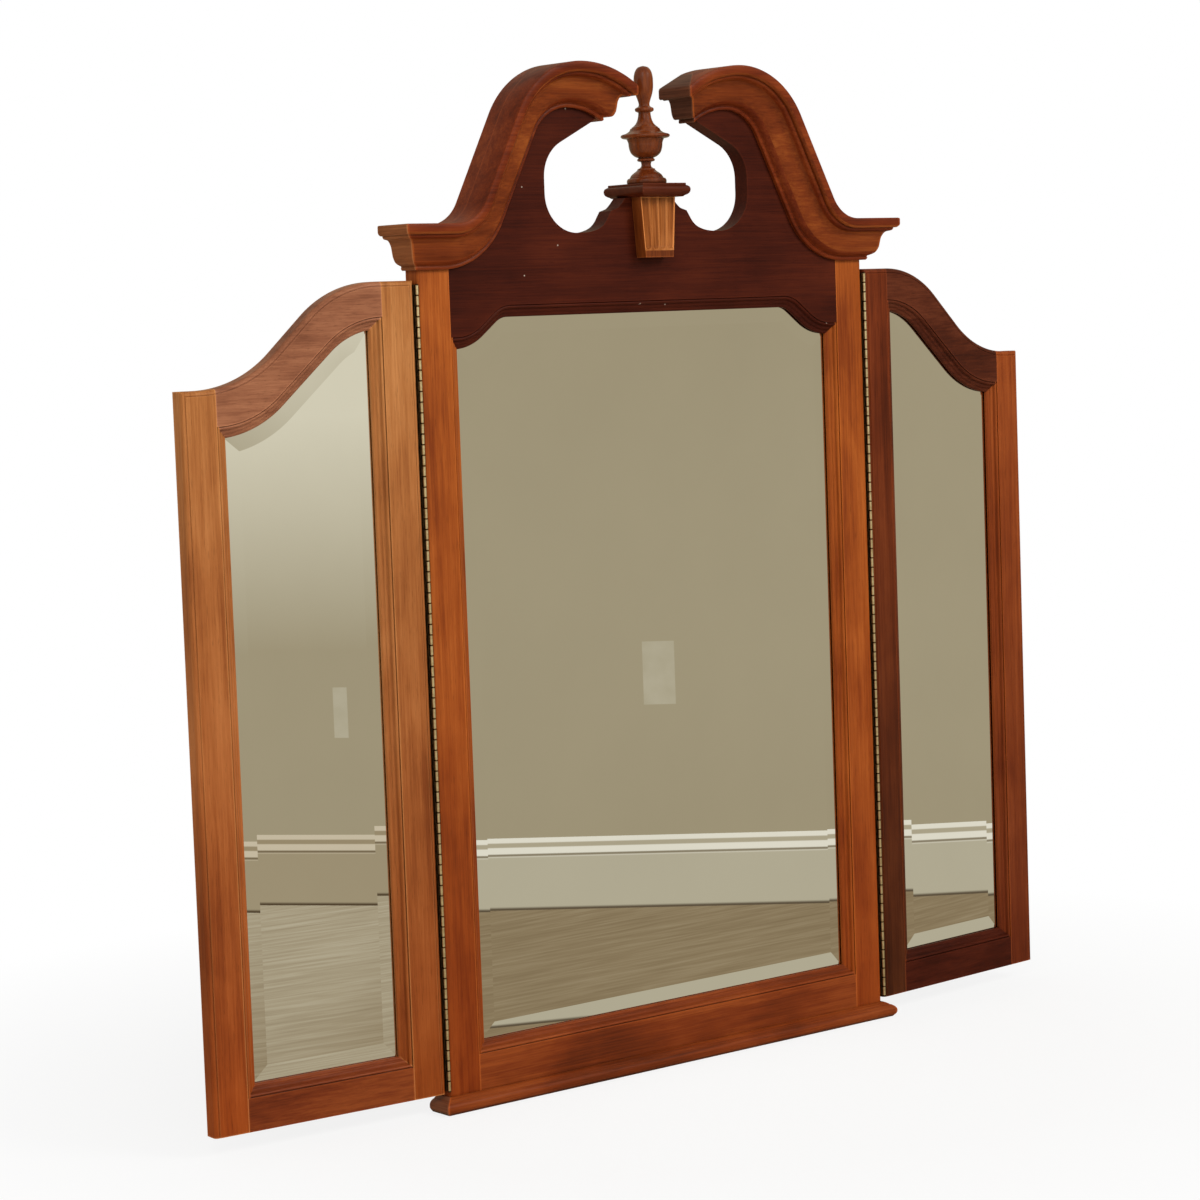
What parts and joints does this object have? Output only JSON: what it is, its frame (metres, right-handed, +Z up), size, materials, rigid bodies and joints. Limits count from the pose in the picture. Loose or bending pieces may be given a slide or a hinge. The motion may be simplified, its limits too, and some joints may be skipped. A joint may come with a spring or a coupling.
{
  "type": "trifold vanity mirror",
  "caption": "Three-panel vanity mirror with a swan-neck pediment, urn finial and shaped wings on continuous hinges.",
  "frame": {"origin": "middle of the centre frame's bottom edge, halfway through its thickness, on the surface it stands on", "axes": "+Z up, +X the viewer's right, -Y the mirrors' front"},
  "size_m": [1.3653, 0.0853, 1.272],
  "materials": {
    "light_wood": "satin lacquer",
    "red_wood": "satin lacquer",
    "dark_wood": "satin lacquer",
    "crown_wood": "satin lacquer",
    "plain_wood": "unfinished",
    "backboard": "unfinished hardboard",
    "mirror_glass": "bevelled and silvered",
    "brass": "aged",
    "steel": "plain"
  },
  "bodies": {
    "centre_frame": {"base_moulding_front": "crown_wood", "base_return_left": "crown_wood", "base_return_right": "crown_wood", "bottom_rail": "red_wood", "cap_plate": "dark_wood", "centre_back_screws": "steel", "centre_backboard": "backboard", "centre_glass": "mirror_glass", "centre_retaining_strips": "plain_wood", "crown_inner_return_left": "crown_wood", "crown_inner_return_right": "crown_wood", "crown_left": "crown_wood", "crown_outer_return_left": "crown_wood", "crown_outer_return_right": "crown_wood", "crown_right": "crown_wood", "finial": "red_wood", "hinge_centre_leaf_left": "brass", "hinge_centre_leaf_right": "brass", "hinge_centre_screws_left": "brass", "hinge_centre_screws_right": "brass", "hinge_pin_left": "brass", "hinge_pin_right": "brass", "keystone": "light_wood", "pediment_board": "dark_wood", "stile_left": "light_wood", "stile_right": "light_wood", "support_inserts": "brass"},
    "left_wing": {"hinge_wing_leaf_left": "brass", "hinge_wing_screws_left": "brass", "wing_back_screws_left": "steel", "wing_backboard_left": "backboard", "wing_bottom_rail_left": "red_wood", "wing_glass_left": "mirror_glass", "wing_hinge_stile_left": "light_wood", "wing_outer_stile_left": "light_wood", "wing_retaining_strips_left": "plain_wood", "wing_top_rail_left": "dark_wood"},
    "right_wing": {"hinge_wing_leaf_right": "brass", "hinge_wing_screws_right": "brass", "wing_back_screws_right": "steel", "wing_backboard_right": "backboard", "wing_bottom_rail_right": "red_wood", "wing_glass_right": "mirror_glass", "wing_hinge_stile_right": "light_wood", "wing_outer_stile_right": "light_wood", "wing_retaining_strips_right": "plain_wood", "wing_top_rail_right": "dark_wood"}
  },
  "joints": [
    {"name": "left_wing_hinge", "type": "hinge", "parent": "centre_frame", "child": "left_wing", "pos_m": [-0.365, -0.0144, 0.517], "axis": [0, 0, 1], "range_deg": [-8, 182]},
    {"name": "right_wing_hinge", "type": "hinge", "parent": "centre_frame", "child": "right_wing", "pos_m": [0.365, -0.0144, 0.517], "axis": [0, 0, -1], "range_deg": [-7.3, 182.7]}
  ]
}
